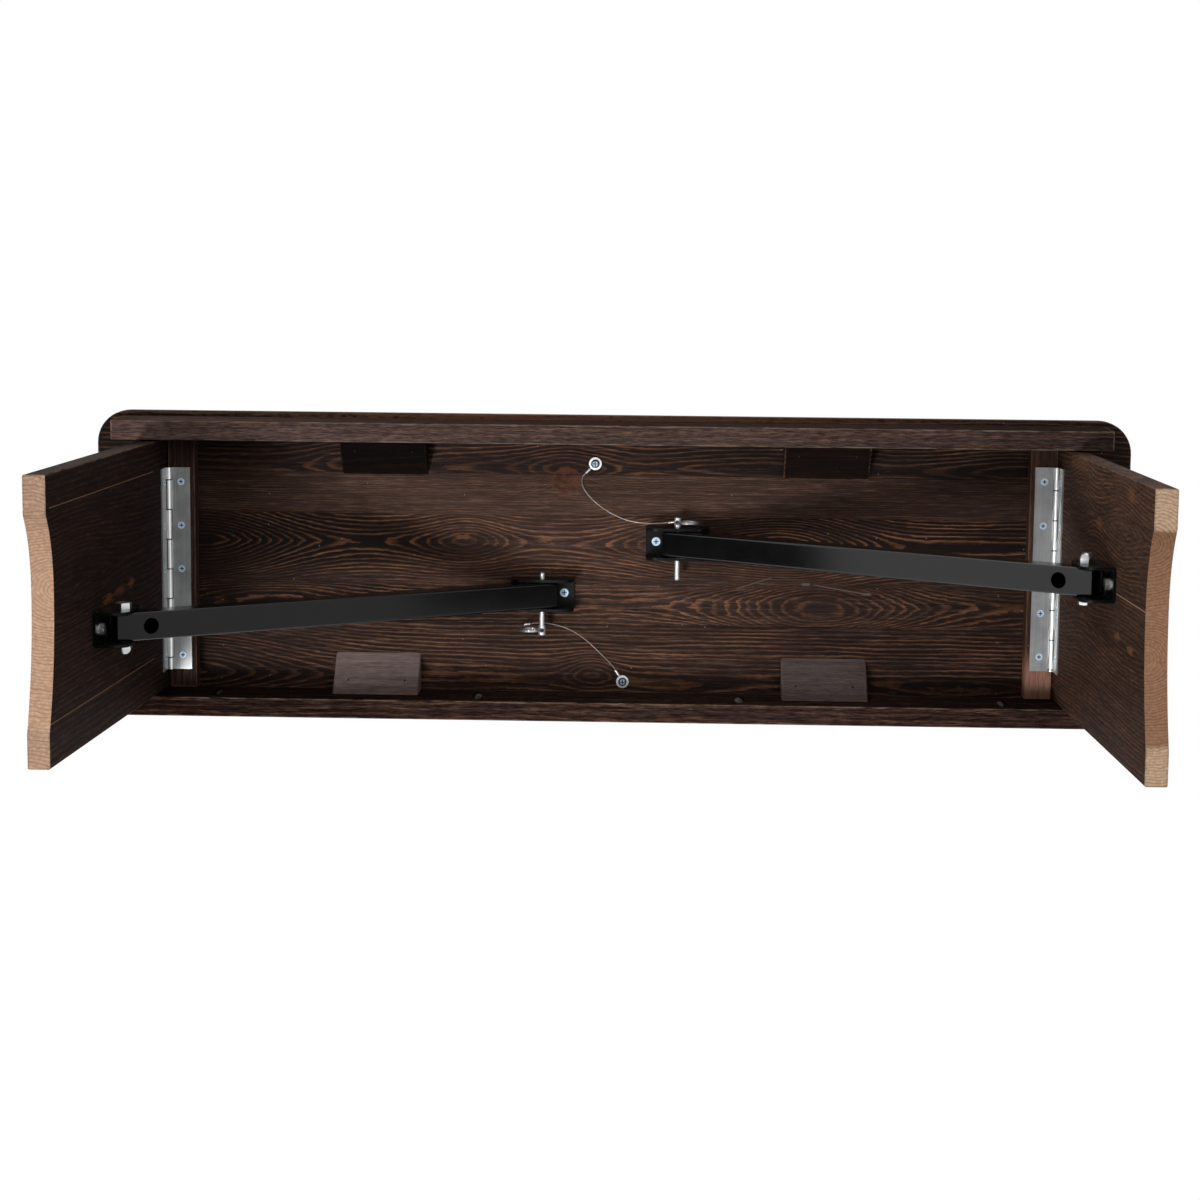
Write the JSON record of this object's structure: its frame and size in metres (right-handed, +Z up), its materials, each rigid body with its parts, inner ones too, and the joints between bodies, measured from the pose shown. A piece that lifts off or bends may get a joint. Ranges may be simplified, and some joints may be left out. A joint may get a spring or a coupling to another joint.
{
  "type": "folding farmhouse bench",
  "caption": "Dark stained wooden bench whose board legs fold under the seat on leaf hinges and lock open with black steel braces and pull pins on wire lanyards.",
  "frame": {"origin": "on the floor under the centre of the seat", "axes": "+X along the seat, +Y from front to back, +Z up"},
  "size_m": [1.016, 0.298, 0.457],
  "materials": {
    "seat_wood": "satin stain",
    "leg_wood": "satin stain",
    "apron_wood": "satin stain",
    "block_wood": "rough stain",
    "hinge_steel": "satin",
    "black_steel": "satin",
    "zinc": "bright zinc",
    "wire": "bright"
  },
  "bodies": {
    "seat": {"apron_pocket_screws": "zinc", "block_brads": "zinc", "front_apron": "apron_wood", "glue_block_front_left": "block_wood", "glue_block_front_right": "block_wood", "glue_block_rear_left": "block_wood", "glue_block_rear_right": "block_wood", "lanyard_screws": "zinc", "lanyard_washers": "zinc", "left_cleat": "block_wood", "left_hinge_fixed_leaf": "hinge_steel", "left_hinge_fixed_screws": "zinc", "left_hinge_pin": "hinge_steel", "left_lanyard_end_ferrule": "zinc", "left_lanyard_ferrule": "zinc", "left_lanyard_wire": "wire", "left_seat_bracket": "black_steel", "rear_apron": "apron_wood", "right_cleat": "block_wood", "right_hinge_fixed_leaf": "hinge_steel", "right_hinge_fixed_screws": "zinc", "right_hinge_pin": "hinge_steel", "right_lanyard_ferrule": "zinc", "right_lanyard_wire": "wire", "right_seat_bracket": "black_steel", "seat_board_1": "seat_wood", "seat_board_2": "seat_wood", "seat_board_3": "seat_wood", "seat_board_4": "seat_wood", "seat_bracket_screws": "zinc"},
    "left_brace": {"left_brace_tube": "black_steel"},
    "left_leg": {"left_hinge_moving_leaf": "hinge_steel", "left_hinge_moving_screws": "zinc", "left_leg_board_1": "leg_wood", "left_leg_board_2": "leg_wood", "left_leg_board_3": "leg_wood", "left_leg_bracket": "black_steel", "left_leg_bracket_bolts": "zinc", "left_leg_bracket_washers": "zinc", "left_pivot_bolt": "zinc", "left_pivot_nut": "zinc"},
    "left_lock_pin": {"left_lock_pin": "zinc"},
    "left_pull_ring": {"left_pull_ring": "zinc"},
    "right_brace": {"right_brace_tube": "black_steel"},
    "right_leg": {"right_hinge_moving_leaf": "hinge_steel", "right_hinge_moving_screws": "zinc", "right_leg_board_1": "leg_wood", "right_leg_board_2": "leg_wood", "right_leg_bracket": "black_steel", "right_leg_bracket_bolts": "zinc", "right_leg_bracket_washers": "zinc", "right_pivot_bolt": "zinc", "right_pivot_nut": "zinc"},
    "right_lock_pin": {"right_lock_pin": "zinc"},
    "right_pull_ring": {"right_pull_ring": "zinc"}
  },
  "joints": [
    {"name": "left_leg_fold", "type": "hinge", "parent": "seat", "child": "left_leg", "pos_m": [-0.433, 0, 0.4159], "axis": [0, -1, 0], "range_deg": [0, 88.4]},
    {"name": "left_brace_swing", "type": "hinge", "parent": "left_leg", "child": "left_brace", "pos_m": [-0.42685, 0.026, 0.1694], "axis": [0, -1, 0], "range_deg": [-122.9, 0]},
    {"name": "left_pin_pull", "type": "slide", "parent": "seat", "child": "left_lock_pin", "axis": [0, 1, 0], "range_m": [0, 0.038]},
    {"name": "left_ring_swing", "type": "hinge", "parent": "left_lock_pin", "child": "left_pull_ring", "pos_m": [-0.066, 0.061, 0.417], "axis": [0, 0, 1], "range_deg": [-90, 0]},
    {"name": "right_leg_fold", "type": "hinge", "parent": "seat", "child": "right_leg", "pos_m": [0.433, 0, 0.4159], "axis": [0, 1, 0], "range_deg": [0, 88.4]},
    {"name": "right_brace_swing", "type": "hinge", "parent": "right_leg", "child": "right_brace", "pos_m": [0.42685, -0.026, 0.1694], "axis": [0, 1, 0], "range_deg": [-122.9, 0]},
    {"name": "right_pin_pull", "type": "slide", "parent": "seat", "child": "right_lock_pin", "axis": [0, -1, 0], "range_m": [0, 0.052]},
    {"name": "right_ring_swing", "type": "hinge", "parent": "right_lock_pin", "child": "right_pull_ring", "pos_m": [0.066, -0.047, 0.417], "axis": [0, 0, 1], "range_deg": [-90, 0]}
  ],
  "couplings": [
    {"joint": "left_brace_swing", "follows": "left_leg_fold", "ratio": -1.3898},
    {"joint": "left_pin_pull", "follows": "left_leg_fold", "m_per_rad": 0.02462},
    {"joint": "right_brace_swing", "follows": "right_leg_fold", "ratio": -1.3898},
    {"joint": "right_pin_pull", "follows": "right_leg_fold", "m_per_rad": 0.0337}
  ]
}
